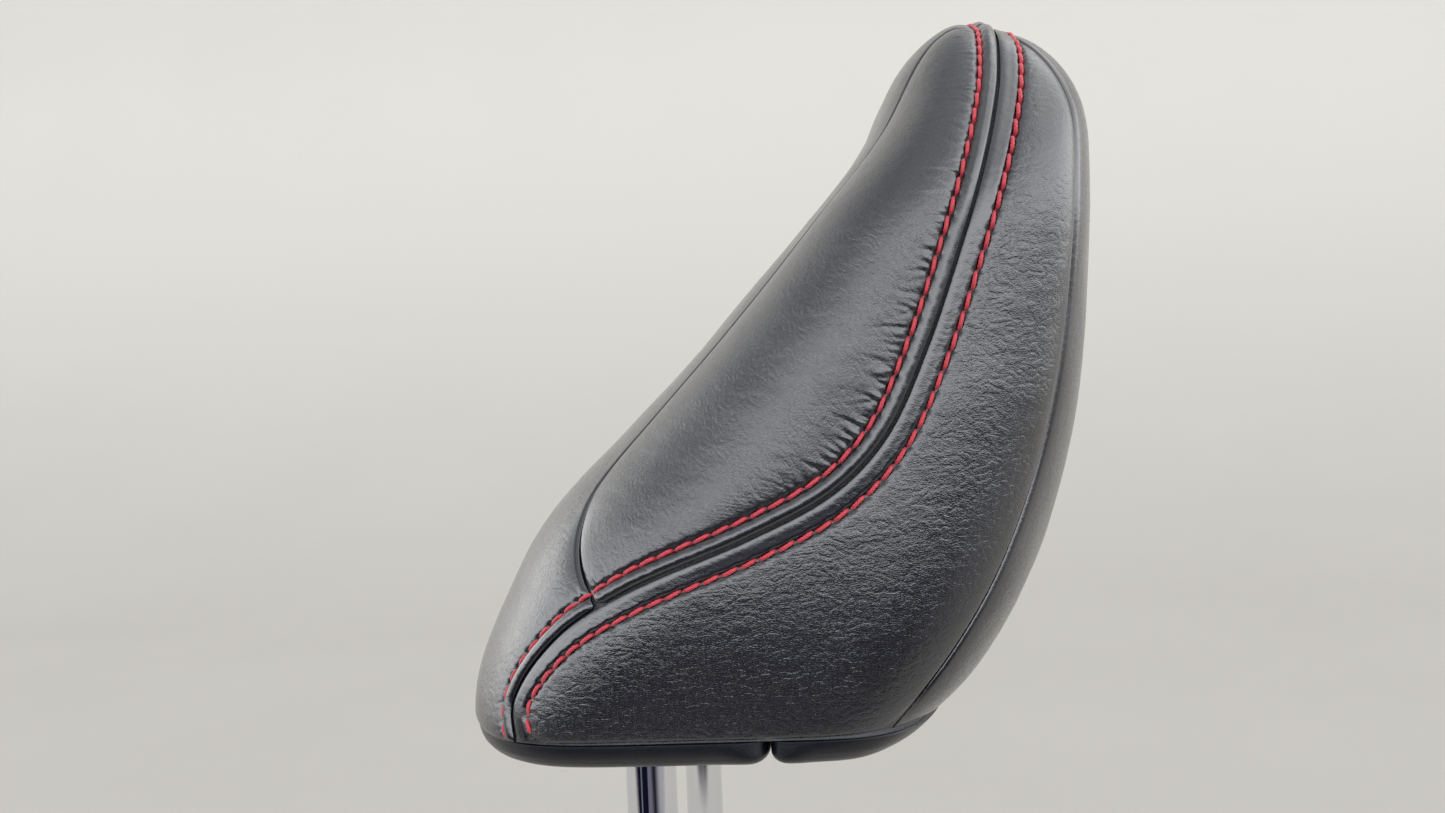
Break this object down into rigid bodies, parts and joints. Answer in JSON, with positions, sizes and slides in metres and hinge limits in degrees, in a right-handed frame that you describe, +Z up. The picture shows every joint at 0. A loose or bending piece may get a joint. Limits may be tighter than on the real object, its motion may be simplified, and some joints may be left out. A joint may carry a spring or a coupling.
{
  "type": "head restraint",
  "caption": "Sport seat head restraint: grained black leather head with S-shaped seams, red topstitching and chromed posts on a bent tube.",
  "frame": {"origin": "midway between the two posts, on the head's underside", "axes": "+Z up along the posts, the side that the head leans on faces -Y, X across from post to post"},
  "size_m": [0.2628, 0.1809, 0.3594],
  "materials": {
    "chromed_tube": "bright chrome plate",
    "collar_plastic": "fine grained black plastic",
    "carrier_plastic": "plain moulded black plastic",
    "screw_steel": "zinc plated",
    "foam": "moulded foam, as soft padding",
    "cover_leather": "grained black leather",
    "bolster_leather": "fine grained black leather",
    "flap_leather": "grained black leather",
    "red_thread": "twisted polyester thread",
    "closure_plastic": "extruded plastic"
  },
  "bodies": {
    "root": {"post_frame": "chromed_tube", "collar_left": "collar_plastic", "collar_right": "collar_plastic", "carrier_rear": "carrier_plastic", "carrier_front": "carrier_plastic", "carrier_screw_1": "screw_steel", "carrier_screw_2": "screw_steel", "carrier_screw_3": "screw_steel", "carrier_screw_4": "screw_steel", "foam_body": "foam", "cover_side_left": "cover_leather", "cover_side_right": "cover_leather", "cover_bolster_left": "bolster_leather", "cover_bolster_right": "bolster_leather", "cover_back": "bolster_leather", "cover_front": "cover_leather", "stitch_rear_left": "red_thread", "stitch_rear_right": "red_thread", "stitch_rear_top": "red_thread", "stitch_front_left": "red_thread", "stitch_front_right": "red_thread", "stitch_front_top": "red_thread", "flap_rear": "flap_leather", "flap_front": "flap_leather", "closure_rear": "closure_plastic", "closure_front": "closure_plastic"}
  },
  "joints": []
}
